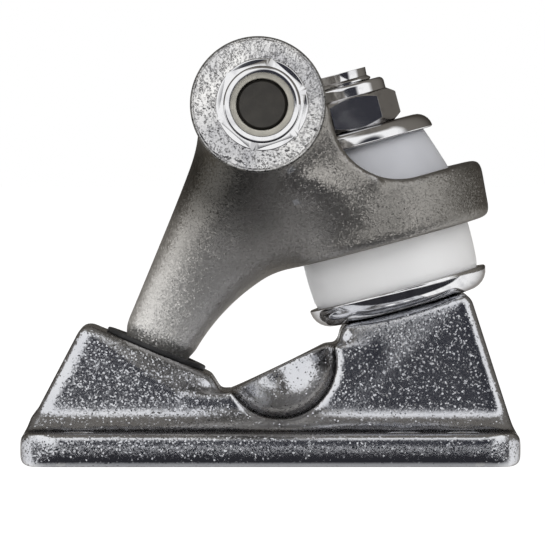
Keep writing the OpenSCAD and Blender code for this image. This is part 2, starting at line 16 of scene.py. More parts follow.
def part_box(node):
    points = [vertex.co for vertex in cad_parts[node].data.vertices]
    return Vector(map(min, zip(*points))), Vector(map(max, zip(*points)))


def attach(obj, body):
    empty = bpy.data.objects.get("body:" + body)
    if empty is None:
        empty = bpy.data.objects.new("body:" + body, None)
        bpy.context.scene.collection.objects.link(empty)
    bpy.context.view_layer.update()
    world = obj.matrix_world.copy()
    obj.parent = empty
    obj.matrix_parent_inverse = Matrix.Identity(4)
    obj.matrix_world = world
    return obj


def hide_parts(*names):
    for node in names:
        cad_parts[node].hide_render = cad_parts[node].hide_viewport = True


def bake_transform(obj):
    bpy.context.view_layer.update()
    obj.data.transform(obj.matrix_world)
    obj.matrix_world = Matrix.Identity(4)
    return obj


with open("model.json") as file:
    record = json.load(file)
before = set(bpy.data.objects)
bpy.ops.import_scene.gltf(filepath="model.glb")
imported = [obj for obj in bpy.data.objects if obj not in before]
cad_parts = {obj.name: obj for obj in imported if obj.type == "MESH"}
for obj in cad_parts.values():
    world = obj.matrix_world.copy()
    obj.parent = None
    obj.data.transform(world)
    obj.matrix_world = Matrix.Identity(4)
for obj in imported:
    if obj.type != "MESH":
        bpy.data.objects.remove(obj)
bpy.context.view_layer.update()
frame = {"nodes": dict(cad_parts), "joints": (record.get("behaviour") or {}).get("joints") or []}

bl_info = {
    "name": "Skateboard Truck",
    "version": (1, 0, 0),
    "blender": (4, 5, 0),
    "location": "3D View > Sidebar > Truck",
    "description": "Builds the finished pieces of a skateboard truck and the studio round it",
    "category": "Add Mesh",
}

MM = 0.001
MERGE = 1e-6
CAST_MERGE = 1e-5
CAST_CREASE = 80
FLOAT = "NodeSocketFloat"
WHITE = (1.0, 1.0, 1.0, 1.0)
JOINTS = {joint["name"]: joint for joint in frame["joints"]}
ENDS = ("left", "right")

# Sizes of the hardware and the hanger's ends, and the pivot's lean
KINGPIN_RADIUS = 4.765 * MM
KINGPIN_NUT_FLATS = 14.29 * MM
KINGPIN_NUT_TURN = math.radians(6.6)
AXLE_RADIUS = 3.97 * MM
AXLE_NUT_FLATS = 12.7 * MM
AXLE_NUT_TURN = math.radians(19)
LOOSE_FIT = 0.3 * MM
THREAD_LENGTH = 13 * MM
TIP_BEVEL = 0.4 * MM
TIP_EDGE = 0.1 * MM
COLLAR_STEP = 0.35 * MM
NUT_CLEAR = 0.05 * MM
RING_CLEAR = 0.01 * MM
OVERSHOOT = 1 * MM
END_RIM = 10.82 * MM
END_LAND = 0.4 * MM
TUBE_SHIFT = 0.6 * MM
PIVOT_LEAN = math.radians(22.3)


# Places and sizes read from the frame


def joint_line(name, flip=False):
    """The point and direction of a joint's axis."""
    joint = JOINTS[name]
    along = Vector(joint["axis"]).normalized()
    return Vector(joint["pos_m"]), -along if flip else along


def reach(node, at, along):
    """A node's lowest and highest station along a line, and its largest distance from it."""
    stations = []
    distances = []
    for vertex in frame["nodes"][node].data.vertices:
        offset = vertex.co - at
        station = offset.dot(along)
        stations.append(station)
        distances.append((offset - along * station).length)
    return min(stations), max(stations), max(distances)


def least_radius(node, at, along):
    """The smallest distance of a node's surface from a line, the radius of its bore."""
    offsets = [vertex.co - at for vertex in frame["nodes"][node].data.vertices]
    return min((offset - along * offset.dot(along)).length for offset in offsets)


def line_frame(at, along):
    """The matrix that puts a piece turned about Z on a line.

    The line lies in the plane of symmetry or along the axle.
    """
    side = Vector((0, 1, 0)) if abs(along.y) < 0.5 else Vector((0, 0, 1))
    first = side.cross(along).normalized()
    turn = Matrix((first, along.cross(first), along)).transposed()
    return Matrix.Translation(at) @ turn.to_4x4()


KINGPIN_SEAT, KINGPIN_UP = joint_line("kingpin_nut_turn", flip=True)
KINGPIN_FRAME = line_frame(KINGPIN_SEAT, KINGPIN_UP)
PIVOT_BALL = joint_line("steer")[0]
AXLE_END = {end: joint_line("axle_nut_turn_" + end, flip=True) for end in ENDS}
AXLE_MIDDLE = Vector((AXLE_END["left"][0].x, 0, AXLE_END["left"][0].z))
TUBE_MIDDLE = AXLE_MIDDLE - Vector((TUBE_SHIFT, 0, 0))


# Mesh helpers


def turned(outline, steps=96, segments=4):
    """A body turned about Z from corners of (radius, height, rounding).

    It is closed through the axis where the outline starts there, and otherwise a ring.
    """
    bm = bmesh.new()
    corners = [bm.verts.new((radius, 0, height)) for radius, height, _ in outline]
    chain = [bm.edges.new(pair) for pair in zip(corners, corners[1:])]
    if outline[0][0] > 0:
        chain.append(bm.edges.new((corners[-1], corners[0])))
    bmesh.ops.spin(
        bm,
        geom=corners + chain,
        cent=(0, 0, 0),
        axis=(0, 0, 1),
        angle=2 * math.pi,
        steps=steps,
        use_merge=True,
    )
    bmesh.ops.remove_doubles(bm, verts=bm.verts, dist=MERGE)
    bmesh.ops.recalc_face_normals(bm, faces=bm.faces)
    near = 10 * MERGE
    for radius, height, rounding in outline:
        if rounding > 0:
            ring = [
                edge
                for edge in bm.edges
                if all(
                    abs(math.hypot(v.co.x, v.co.y) - radius) < near and abs(v.co.z - height) < near
                    for v in edge.verts
                )
            ]
            bmesh.ops.bevel(
                bm,
                geom=ring,
                offset=rounding,
                affect="EDGES",
                segments=segments,
                profile=0.5,
                material=-1,
            )
    return bm


def thread(radius, low, high, pitch, depth):
    """Outline corners of a thread's crests and roots between two heights."""
    turns = int((high - low) / pitch)
    corners = []
    for turn in range(turns):
        start = low + turn * pitch
        corners += [
            (radius - depth, start, 0),
            (radius, start + pitch * 0.4, 0),
            (radius, start + pitch * 0.6, 0),
        ]
    return corners + [(radius - depth, low + turns * pitch, 0)]


def swell(start, end, bulge, steps=8):
    """Outline corners between two others that bulge outwards halfway."""
    corners = []
    for step in range(1, steps):
        share = step / steps
        radius = start[0] + (end[0] - start[0]) * share + bulge * math.sin(math.pi * share)
        corners.append((radius, start[1] + (end[1] - start[1]) * share, 0))
    return corners


def loose_object(bm, name):
    """A bmesh as an object of its own."""
    mesh = bpy.data.meshes.new(name)
    bm.to_mesh(mesh)
    bm.free()
    piece = bpy.data.objects.new(name, mesh)
    bpy.context.scene.collection.objects.link(piece)
    return piece


def discard(piece):
    """Removes an object and its mesh."""
    mesh = piece.data
    bpy.data.objects.remove(piece)
    bpy.data.meshes.remove(mesh)


def applied(piece):
    """The mesh that an object's modifiers give, as a bmesh. The object is removed."""
    bm = bmesh.new()
    bm.from_object(piece, bpy.context.evaluated_depsgraph_get())
    discard(piece)
    return bm


def combined(bm, other, operation):
    """Two closed bodies joined, cut or kept in common."""
    piece = loose_object(bm, "body")
    tool = loose_object(other, "tool")
    cut = piece.modifiers.new("cut", "BOOLEAN")
    cut.operation = operation
    cut.solver = "EXACT"
    cut.object = tool
    result = applied(piece)
    discard(tool)
    return result


def eased(bm, width, segments=2, angle=28):
    """A body whose sharp edges are broken by a small round."""
    piece = loose_object(bm, "body")
    bevel = piece.modifiers.new("ease", "BEVEL")
    bevel.width = width
    bevel.segments = segments
    bevel.limit_method = "ANGLE"
    bevel.angle_limit = math.radians(angle)
    bevel.harden_normals = False
    return applied(piece)


def hexagon(flats, low, high, turn):
    """A six-sided bar about Z, turned from X by the given angle."""
    bm = bmesh.new()
    spun = Matrix.Rotation(turn + math.pi / 6, 4, "Z")
    radius = flats / math.sqrt(3)
    bmesh.ops.create_cone(
        bm,
        cap_ends=True,
        segments=6,
        radius1=radius,
        radius2=radius,
        depth=high - low,
        matrix=Matrix.Translation((0, 0, (low + high) / 2)) @ spun,
    )
    return bm


def casting(node, voxel):
    """A cast node's mesh, merged and remeshed into even faces."""
    bm = bmesh.new()
    bm.from_mesh(frame["nodes"][node].data)
    bmesh.ops.remove_doubles(bm, verts=bm.verts, dist=CAST_MERGE)
    piece = loose_object(bm, node + "_cast")
    remesh = piece.modifiers.new("remesh", "REMESH")
    remesh.mode = "VOXEL"
    remesh.voxel_size = voxel
    return largest(applied(piece))


def largest(bm):
    """A mesh without the crumbs that lie loose beside its main body."""
    left = set(bm.verts)
    bodies = []
    while left:
        front = [left.pop()]
        body = []
        while front:
            vertex = front.pop()
            body.append(vertex)
            for edge in vertex.link_edges:
                other = edge.other_vert(vertex)
                if other in left:
                    left.remove(other)
                    front.append(other)
        bodies.append(body)
    bodies.sort(key=len)
    for body in bodies[:-1]:
        bmesh.ops.delete(bm, geom=body, context="VERTS")
    return bm


def smoothed(bm, passes):
    """A cast surface with the steps of its remesh smoothed away."""
    for _ in range(passes):
        bmesh.ops.smooth_vert(
            bm, verts=bm.verts, factor=0.5, use_axis_x=True, use_axis_y=True, use_axis_z=True
        )
    return bm


def set_places(bm, co):
    """Puts a mesh's vertices at the given places."""
    for vertex, place in zip(bm.verts, co):
        vertex.co = place


def filleted(bm, passes, weight, give=0.04, stride=0.5, fresh=20):
    """Fills the hollows where cast forms meet.

    Each pass moves a vertex by a stride towards its neighbours. Swelling surfaces keep their shape,
    but for a small give. The normals are fresh every few passes.
    """
    bm.verts.index_update()
    co = np.array([vertex.co for vertex in bm.verts])
    one, other = np.array([[vertex.index for vertex in edge.verts] for edge in bm.edges]).T
    shares = np.array([weight(vertex.co) for vertex in bm.verts])
    size = len(co)
    count = (np.bincount(one, minlength=size) + np.bincount(other, minlength=size))[:, None]
    for step in range(passes):
        if step % fresh == 0:
            set_places(bm, co)
            bm.normal_update()
            normals = np.array([vertex.normal for vertex in bm.verts])
        total = np.stack(
            [
                np.bincount(one, co[other, axis], size) + np.bincount(other, co[one, axis], size)
                for axis in range(3)
            ],
            axis=1,
        )
        move = total / count - co
        outward = (move * normals).sum(axis=1) > 0
        co += stride * move * (shares * np.where(outward, 1.0, give))[:, None]
    set_places(bm, co)
    return bm


def add_piece(bm, name, finish, nodes, body=None, place=None, crease=35):
    """A finished piece: its mesh in place, its finish, its body and the nodes it stands for."""
    if place is not None:
        bm.transform(place)
    piece = loose_object(bm, name)
    mesh = piece.data
    mesh.shade_smooth()
    mesh.set_sharp_from_angle(angle=math.radians(crease))
    mesh.materials.append(finish_of(finish))
    if body is not None:
        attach(piece, body)
    if nodes:
        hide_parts(*nodes)
    return piece


# Shader helpers


def feed(tree, node, values):
    """Values and links on a node's inputs: a value that is a socket is linked."""
    for key, value in values.items():
        if isinstance(value, bpy.types.NodeSocket):
            tree.links.new(value, node.inputs[key])
        else:
            node.inputs[key].default_value = value


def add_node(tree, kind, values=None, **settings):
    """A node with its settings, its values and its links."""
    node = tree.nodes.new(kind)
    for key, value in settings.items():
        setattr(node, key, value)
    feed(tree, node, values or {})
    return node


def object_spot(tree):
    """The place of a point on its object."""
    return add_node(tree, "ShaderNodeTexCoord").outputs["Object"]


def parts_of(tree, vector):
    """A vector's X, Y and Z."""
    return add_node(tree, "ShaderNodeSeparateXYZ", {0: vector}).outputs


def mixed(tree, share, first, second):
    """A colour between two colours."""
    node = add_node(tree, "ShaderNodeMix", {0: share, 6: first, 7: second}, data_type="RGBA")
    return node.outputs[2]


def value_of(tree, first, second, operation="ADD"):
    """Two values added, or combined as the operation says."""
    return add_node(tree, "ShaderNodeMath", {0: first, 1: second}, operation=operation).outputs[0]


def vector_math(tree, operation, values):
    """The outputs of an operation on vectors."""
    return add_node(tree, "ShaderNodeVectorMath", values, operation=operation).outputs


def vector_of(tree, first, second, operation="ADD"):
    """Two vectors added, or combined as the operation says."""
    return vector_math(tree, operation, {0: first, 1: second})[0]


def length_of(tree, vector):
    """A vector's length."""
    return vector_math(tree, "LENGTH", {0: vector})["Value"]


def along_of(tree, vector, way):
    """How far a vector goes along a way."""
    return vector_math(tree, "DOT_PRODUCT", {0: vector, 1: way})["Value"]


def ranged(tree, value, low, high, to_low=0.0, to_high=1.0):
    """A value carried from one range to another, held at its ends."""
    values = {
        "Value": value,
        "From Min": low,
        "From Max": high,
        "To Min": to_low,
        "To Max": to_high,
    }
    return add_node(tree, "ShaderNodeMapRange", values, clamp=True).outputs["Result"]


def noise(tree, spot, scale, detail):
    """A noise of the given scale and detail."""
    values = {"Vector": spot, "Scale": scale, "Detail": detail}
    return add_node(tree, "ShaderNodeTexNoise", values).outputs["Fac"]


def bump(tree, height, strength, distance):
    """A bumped normal from a height."""
    values = {"Height": height, "Strength": strength, "Distance": distance}
    return add_node(tree, "ShaderNodeBump", values).outputs["Normal"]


def new_group(name, given, put):
    """An empty shader group with its named inputs and outputs."""
    group = bpy.data.node_groups.new(name, "ShaderNodeTree")
    for label, default in given:
        socket = group.interface.new_socket(name=label, in_out="INPUT", socket_type=FLOAT)
        socket.default_value = default
    for label, kind in put:
        group.interface.new_socket(name=label, in_out="OUTPUT", socket_type=kind)
    start = group.nodes.new("NodeGroupInput").outputs
    end = group.nodes.new("NodeGroupOutput").inputs
    return group, start, end


def cast_grain():
    """Group: a tumbled casting's grain of small tilted facets, its fine bumps and its slow mottle."""
    given = [
        ("Grain", 2900.0),
        ("Tilt", 0.5),
        ("Rarity", 4.0),
        ("Bump Scale", 1500.0),
        ("Bump Height", 0.02 * MM),
        ("Mottle Scale", 110.0),
    ]
    put = [("Normal", "NodeSocketVector"), ("Speck", FLOAT), ("Mottle", FLOAT)]
    group, start, end = new_group("cast_grain", given, put)
    spot = object_spot(group)
    pattern = {"Vector": spot, "Scale": start["Grain"]}
    cells = add_node(group, "ShaderNodeTexVoronoi", pattern).outputs
    chance = add_node(group, "ShaderNodeTexWhiteNoise", {"Vector": cells["Position"]}).outputs
    speck = value_of(group, chance["Value"], start["Rarity"], "POWER")
    lean = value_of(group, speck, start["Tilt"], "MULTIPLY")
    centred = vector_of(group, cells["Color"], (0.5, 0.5, 0.5), "SUBTRACT")
    tilt = vector_math(group, "SCALE", {0: centred, "Scale": lean})[0]
    normal = add_node(group, "ShaderNodeNewGeometry").outputs["Normal"]
    facet = vector_math(group, "NORMALIZE", {0: vector_of(group, normal, tilt)})[0]
    rise = noise(group, spot, start["Bump Scale"], 2.0)
    relief = {"Height": rise, "Distance": start["Bump Height"], "Normal": facet}
    bumped = add_node(group, "ShaderNodeBump", relief).outputs["Normal"]
    slow = noise(group, spot, start["Mottle Scale"], 4.0)
    group.links.new(bumped, end["Normal"])
    group.links.new(speck, end["Speck"])
    group.links.new(ranged(group, slow, 0.35, 0.65), end["Mottle"])
    return group


def edge_wear():
    """Group: a mask of a casting's rubbed edges."""
    given = [("Edge From", 0.51), ("Edge To", 0.56)]
    group, start, end = new_group("edge_wear", given, [("Edge", FLOAT)])
    point = add_node(group, "ShaderNodeNewGeometry").outputs["Pointiness"]
    group.links.new(ranged(group, point, start["Edge From"], start["Edge To"]), end["Edge"])
    return group


def fine_marks():
    """Group: hairline marks and faint waviness of handled metal and plastic."""
    given = [("Mark Scale", 500.0), ("Cloud Scale", 160.0)]
    put = [("Marks", FLOAT), ("Cloud", FLOAT)]
    group, start, end = new_group("fine_marks", given, put)
    spot = object_spot(group)
    stretch = {"Vector": spot, "Scale": (1.0, 0.12, 1.0)}
    drawn = add_node(group, "ShaderNodeMapping", stretch).outputs[0]
    marks = noise(group, drawn, start["Mark Scale"], 3.0)
    cloud = noise(group, spot, start["Cloud Scale"], 2.0)
    group.links.new(ranged(group, marks, 0.52, 0.7), end["Marks"])
    group.links.new(ranged(group, cloud, 0.3, 0.7), end["Cloud"])
    return group


def group_node(tree, maker, values):
    """A shared group, made the first time it is asked for, in a material with its own values."""
    known = bpy.data.node_groups.get(maker.__name__)
    group = maker() if known is None else known
    return add_node(tree, "ShaderNodeGroup", values, node_tree=group).outputs


def new_finish(name):
    """A new material, its tree and its shader."""
    finish = bpy.data.materials.new(name)
    finish.use_nodes = True
    return finish, finish.node_tree, finish.node_tree.nodes["Principled BSDF"]


def rgba(colour):
    """A colour property as the four numbers that a socket takes."""
    return (*colour, 1.0)


# Finishes


def base_casting(colours):
    """The tumbled bright casting of the baseplate."""
    finish, tree, shader = new_finish("base_casting")
    # The facets stand denser on the pivot block than on the kingpin block
    rarity = ranged(tree, parts_of(tree, object_spot(tree))["X"], -22 * MM, 14 * MM, 2.8, 5.4)
    grain = group_node(
        tree,
        cast_grain,
        {
            "Grain": 4000.0,
            "Tilt": 0.7,
            "Rarity": rarity,
            "Bump Scale": 2600.0,
            "Bump Height": 0.016 * MM,
        },
    )
    wear = group_node(tree, edge_wear, {"Edge From": 0.51, "Edge To": 0.57})
    tone = mixed(tree, grain["Mottle"], rgba(colours.base_metal), rgba(colours.base_metal_dark))
    feed(
        tree,
        shader,
        {
            "Base Color": mixed(tree, wear["Edge"], tone, rgba(colours.base_edge)),
            "Metallic": 1.0,
            "Specular Tint": rgba(colours.grazing),
            "Roughness": ranged(tree, grain["Speck"], 0.0, 1.0, 0.15, 0.24),
            "Normal": grain["Normal"],
        },
    )
    return finish


def hollow_share(tree):
    """Painted shade: 1 in the hollow under the axle tube, fading round it."""
    near = vector_of(tree, object_spot(tree), (-8 * MM, 0.0, 48 * MM), "SUBTRACT")
    drawn_out = vector_of(tree, near, (1.0, 0.15, 1.0), "MULTIPLY")
    return ranged(tree, length_of(tree, drawn_out), 14 * MM, 5 * MM)


def hanger_casting(colours):
    """The satin casting of the hanger, warmer and finer than the baseplate."""
    finish, tree, shader = new_finish("hanger_casting")
    grain = group_node(
        tree,
        cast_grain,
        {
            "Grain": 5600.0,
            "Tilt": 0.85,
            "Rarity": 1.0,
            "Bump Scale": 3400.0,
            "Bump Height": 0.018 * MM,
        },
    )
    wear = group_node(tree, edge_wear, {"Edge From": 0.51, "Edge To": 0.58})
    tone = mixed(tree, grain["Mottle"], rgba(colours.hanger_metal), rgba(colours.hanger_metal_dark))
    tone = mixed(tree, wear["Edge"], tone, rgba(colours.base_edge))
    # Painted shade under the axle tube, in the hanger's dark dull tone
    tone = mixed(tree, hollow_share(tree), tone, rgba(colours.hanger_hollow))
    # The arm is paler towards its foot, a painted highlight, and duller there; the ring is darker
    # towards its tip, a painted shade
    place = parts_of(tree, object_spot(tree))
    level = value_of(tree, place["Z"], value_of(tree, place["X"], 0.6, "MULTIPLY"))
    foot = ranged(tree, level, 34 * MM, 9 * MM)
    tip_shade = ranged(tree, place["X"], 8 * MM, 36 * MM, 0.0, 0.6)
    # Painted highlight: the arm's foot is paler
    tone = mixed(tree, foot, tone, rgba(colours.hanger_foot))
    satin = ranged(tree, grain["Mottle"], 0.0, 1.0, 0.38, 0.44)
    feed(
        tree,
        shader,
        {
            # Painted shade: the ring darkens towards its tip
            "Base Color": mixed(tree, tip_shade, tone, rgba(colours.hanger_hollow)),
            "Metallic": 1.0,
            "Specular Tint": rgba(colours.grazing),
            "Roughness": value_of(tree, satin, ranged(tree, foot, 0.0, 1.0, 0.0, 0.08)),
            "Normal": grain["Normal"],
        },
    )
    return finish


def hanger_end_face(colours):
    """The bright hammered face at each end of the hanger, dull at its edge."""
    finish, tree, shader = new_finish("hanger_end_face")
    grain = group_node(
        tree,
        cast_grain,
        {
            "Grain": 3200.0,
            "Tilt": 0.7,
            "Rarity": 0.8,
            "Bump Scale": 600.0,
            "Bump Height": 1.1 * MM,
        },
    )
    offset = vector_of(tree, object_spot(tree), TUBE_MIDDLE, "SUBTRACT")
    radius = length_of(tree, vector_of(tree, offset, (1.0, 0.0, 1.0), "MULTIPLY"))
    edge = ranged(tree, radius, END_RIM - END_LAND, END_RIM - END_LAND / 2)
    tone = mixed(tree, grain["Mottle"], rgba(colours.end_metal), rgba(colours.end_shade))
    feed(
        tree,
        shader,
        {
            "Base Color": mixed(tree, edge, tone, rgba(colours.hanger_hollow)),
            "Metallic": 0.9,
            "Roughness": ranged(tree, grain["Speck"], 0.0, 1.0, 0.24, 0.36),
            "Normal": grain["Normal"],
        },
    )
    return finish


def marked_finish(name, scales, tones, drivers, rough, relief, values=None):
    """A finish of two close tones with fine marks.

    The scales are those of the marks and the clouds. The drivers say which of the two sets its tone,
    its roughness and its relief, and the relief is a strength and a height.
    """
    finish, tree, shader = new_finish(name)
    marks = group_node(tree, fine_marks, {"Mark Scale": scales[0], "Cloud Scale": scales[1]})
    tone, dull, raised = (marks[driver] for driver in drivers)
    feed(
        tree,
        shader,
        {
            "Base Color": mixed(tree, tone, rgba(tones[0]), rgba(tones[1])),
            "Roughness": ranged(tree, dull, 0.0, 1.0, *rough),
            "Normal": bump(tree, raised, *relief),
            **(values or {}),
        },
    )
    return finish


def bright_plating(colours):
    """The mirror plating of nuts, washers and kingpin."""
    return marked_finish(
        "bright_plating",
        scales=(500.0, 160.0),
        tones=(colours.plating, colours.plating_dark),
        drivers=("Marks", "Cloud", "Cloud"),
        rough=(0.06, 0.13),
        relief=(0.15, 0.2 * MM),
        values={"Metallic": 1.0, "Specular Tint": rgba(colours.grazing)},
    )


def dark_steel(colours):
    """The dark oxidised steel of the axle."""
    return marked_finish(
        "dark_steel",
        scales=(900.0, 300.0),
        tones=(colours.axle_dark, colours.axle_light),
        drivers=("Cloud", "Marks", "Marks"),
        rough=(0.5, 0.62),
        relief=(0.2, 0.1 * MM),
        values={"Metallic": 0.3},
    )


def urethane(name, clear, shade):
    """A milky urethane of two close shades."""
    return marked_finish(
        name,
        scales=(300.0, 90.0),
        tones=(clear, shade),
        drivers=("Cloud", "Marks", "Cloud"),
        rough=(0.38, 0.46),
        relief=(0.1, 0.1 * MM),
        values={
            "Subsurface Weight": 0.5,
            "Subsurface Radius": (1.0, 1.0, 1.0),
            "Subsurface Scale": 4 * MM,
        },
    )


def milky_urethane(colours):
    """The milky urethane of the barrel bushing."""
    return urethane("milky_urethane", colours.urethane, colours.urethane_shade)


def smoky_shaded_urethane(colours):
    """The urethane of the cone bushing, a little bluer than the barrel and darker, the darkness
    partly painted shade from the washer and hanger.
    """
    return urethane("smoky_shaded_urethane", colours.urethane_cone, colours.urethane_cone_shade)


def black_urethane(colours):
    """The black urethane of the pivot cup."""
    return marked_finish(
        "black_urethane",
        scales=(900.0, 400.0),
        tones=(colours.cup, colours.cup_worn),
        drivers=("Cloud", "Marks", "Cloud"),
        rough=(0.5, 0.62),
        relief=(0.2, 0.1 * MM),
    )


def insert_nylon(colours):
    """The dull nylon of the lock rings."""
    return marked_finish(
        "insert_nylon",
        scales=(1200.0, 500.0),
        tones=(colours.nylon, colours.nylon_dark),
        drivers=("Cloud", "Marks", "Marks"),
        rough=(0.45, 0.6),
        relief=(0.2, 0.1 * MM),
    )


FINISHES = {
    maker.__name__: maker
    for maker in (
        base_casting,
        hanger_casting,
        hanger_end_face,
        bright_plating,
        dark_steel,
        milky_urethane,
        smoky_shaded_urethane,
        black_urethane,
        insert_nylon,
    )
}


def finish_of(name):
    """A finish by name, made the first time that it is asked for."""
    known = bpy.data.materials.get(name)
    return known if known is not None else FINISHES[name](bpy.context.scene.truck_colours)


# Sizes and colours that a user would change


def length(label, about, default):
    """A length property in metres."""
    return FloatProperty(
        name=label, description=about, default=default, min=0.0, subtype="DISTANCE", unit="LENGTH"
    )


def passes(label, about, default):
    """A property that counts passes."""
    return IntProperty(name=label, description=about, default=default, min=0)


def colour(label, about, default):
    """A colour property."""
    return FloatVectorProperty(
        name=label, description=about, default=default, size=3, min=0.0, max=1.0, subtype="COLOR"
    )


class TruckSizes(bpy.types.PropertyGroup):
    """Sizes of the details that the finished pieces add to the solids."""

    base_voxel: length("Base detail", "Size of the faces of the baseplate's skin", 0.45 * MM)
    base_passes: passes("Base rounding", "Smoothing passes that round the baseplate", 4)
    base_fill: passes("Base fillets", "Passes that fill the hollows at the feet of the blocks", 36)
    hanger_voxel: length("Hanger detail", "Size of the faces of the hanger's skin", 0.5 * MM)
    hanger_fill: passes(
        "Hanger fillets", "Passes that fill the hollows between the hanger's forms", 300
    )
    hanger_passes: passes("Hanger rounding", "Smoothing passes that round the hanger", 6)
    thread_pitch: length("Thread pitch", "Pitch of the kingpin's and axle's threads", 25.4 / 24 * MM)
    thread_depth: length("Thread depth", "Depth of the threads", 0.5 * MM)
    bushing_bulge: length("Bushing bulge", "How far the barrel bushing swells halfway", 0.25 * MM)
    edge_round: length("Edge round", "Round on the edges of nuts and heads", 0.14 * MM)


class TruckColours(bpy.types.PropertyGroup):
    """Colours of the finishes."""

    base_metal: colour("Base metal", "Bright metal of the baseplate", (0.72, 0.73, 0.76))
    base_metal_dark: colour("Base shade", "Darker patches of the baseplate", (0.64, 0.65, 0.69))
    base_edge: colour("Rubbed edge", "Rubbed edges of the castings", (0.86, 0.86, 0.86))
    grazing: colour("Grazing tint", "Tint of the metals seen edge-on", (0.26, 0.245, 0.23))
    hanger_metal: colour("Hanger metal", "Satin metal of the hanger", (0.58, 0.555, 0.52))
    hanger_metal_dark: colour("Hanger shade", "Darker patches of the hanger", (0.48, 0.46, 0.43))
    # Dull metal of the end faces' rims, and the painted shade under the axle tube and at the ring's
    # tip
    hanger_hollow: colour("Hanger hollow", "Dull metal of the hanger", (0.14, 0.135, 0.125))
    # Painted highlight on the arm's foot
    hanger_foot: colour("Hanger foot", "Rubbed metal of the arm's foot", (0.95, 0.93, 0.9))
    end_metal: colour("End face metal", "Bright end faces of the hanger", (1.0, 0.99, 0.97))
    end_shade: colour("End face shade", "Darker patches of the end faces", (0.56, 0.56, 0.58))
    plating: colour("Plating", "Plating of nuts, washers and kingpin", (0.86, 0.86, 0.87))
    plating_dark: colour("Plating marks", "Marks in the plating", (0.7, 0.7, 0.72))
    axle_dark: colour("Axle steel", "Dark steel of the axle", (0.03, 0.028, 0.025))
    axle_light: colour("Axle clouds", "Lighter clouds of the axle's steel", (0.05, 0.046, 0.04))
    urethane: colour("Barrel urethane", "Milky urethane of the barrel bushing", (0.97, 0.97, 0.97))
    urethane_shade: colour("Barrel clouds", "Faint clouds in the barrel", (0.93, 0.93, 0.94))
    # Slightly blue-grey, and darkened partly as painted shade under the washer and the hanger
    urethane_cone: colour("Cone urethane", "Smoky urethane of the cone bushing", (0.66, 0.67, 0.71))
    urethane_cone_shade: colour("Cone clouds", "Faint clouds in the cone", (0.6, 0.61, 0.65))
    cup: colour("Pivot cup", "Black urethane of the pivot cup", (0.012, 0.012, 0.013))
    cup_worn: colour("Pivot cup, worn", "Worn patches of the pivot cup", (0.03, 0.03, 0.031))
    nylon: colour("Nylon", "Nylon of the lock rings", (0.5, 0.48, 0.42))
    nylon_dark: colour("Nylon shade", "Darker clouds of the nylon", (0.4, 0.385, 0.34))


# Operators


